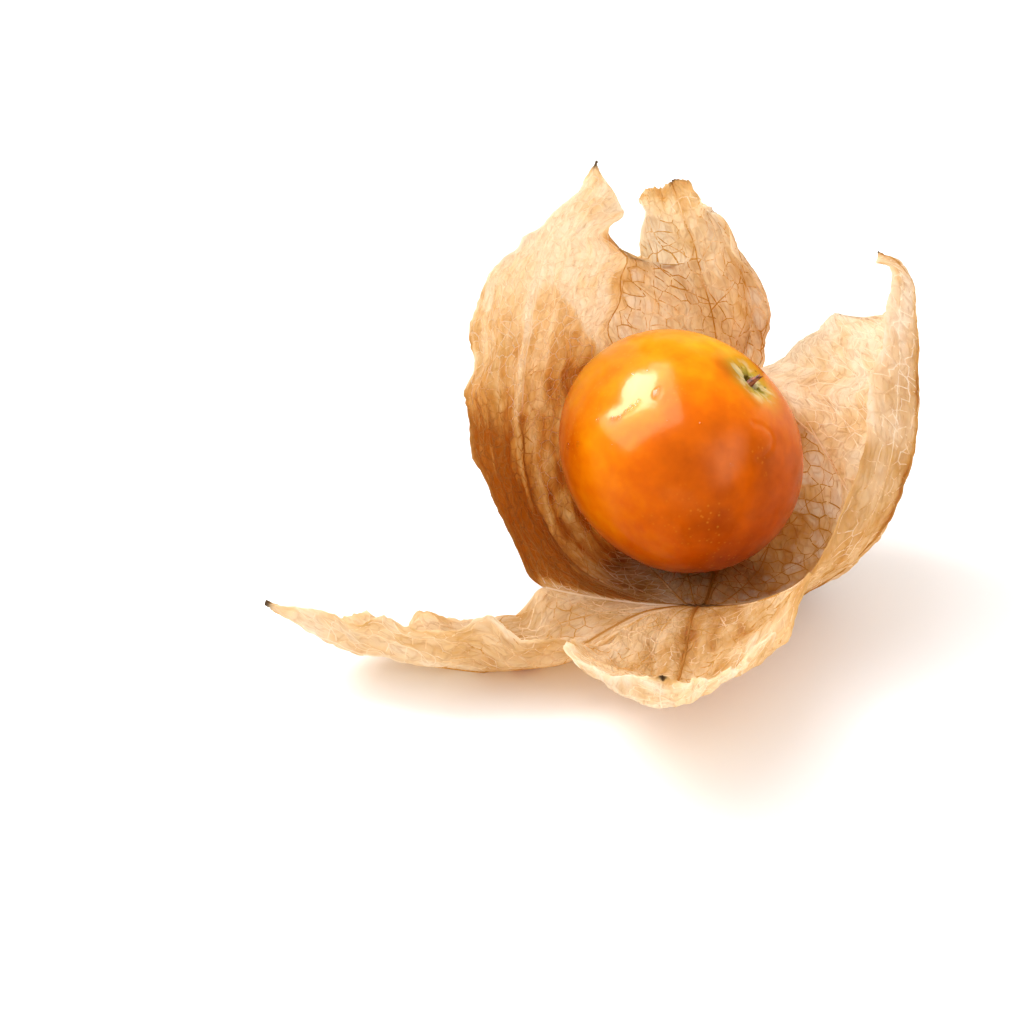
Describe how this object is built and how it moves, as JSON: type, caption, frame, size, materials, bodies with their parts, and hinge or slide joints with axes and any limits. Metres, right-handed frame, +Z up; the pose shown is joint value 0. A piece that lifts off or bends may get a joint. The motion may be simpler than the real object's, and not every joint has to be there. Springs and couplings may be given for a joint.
{
  "type": "physalis berry",
  "caption": "Ripe round orange physalis berry with a stalk scar, lying in its own dry papery husk that has opened into pointed, veined lobes.",
  "frame": {"origin": "on the surface that the part lies on, in the middle of the flat spot under the berry", "axes": "+Z up, +X to the right and -Y toward the viewer, who looks into the opened husk"},
  "size_m": [0.0495, 0.0575, 0.0338],
  "materials": {
    "berry_skin": "smooth waxy gloss",
    "dry_stalk": "rough, dry",
    "husk_paper": "dry, thin and translucent, with a raised net of veins"
  },
  "bodies": {
    "root": {"berry": "berry_skin", "berry_stub": "dry_stalk", "husk": "husk_paper"}
  },
  "joints": []
}
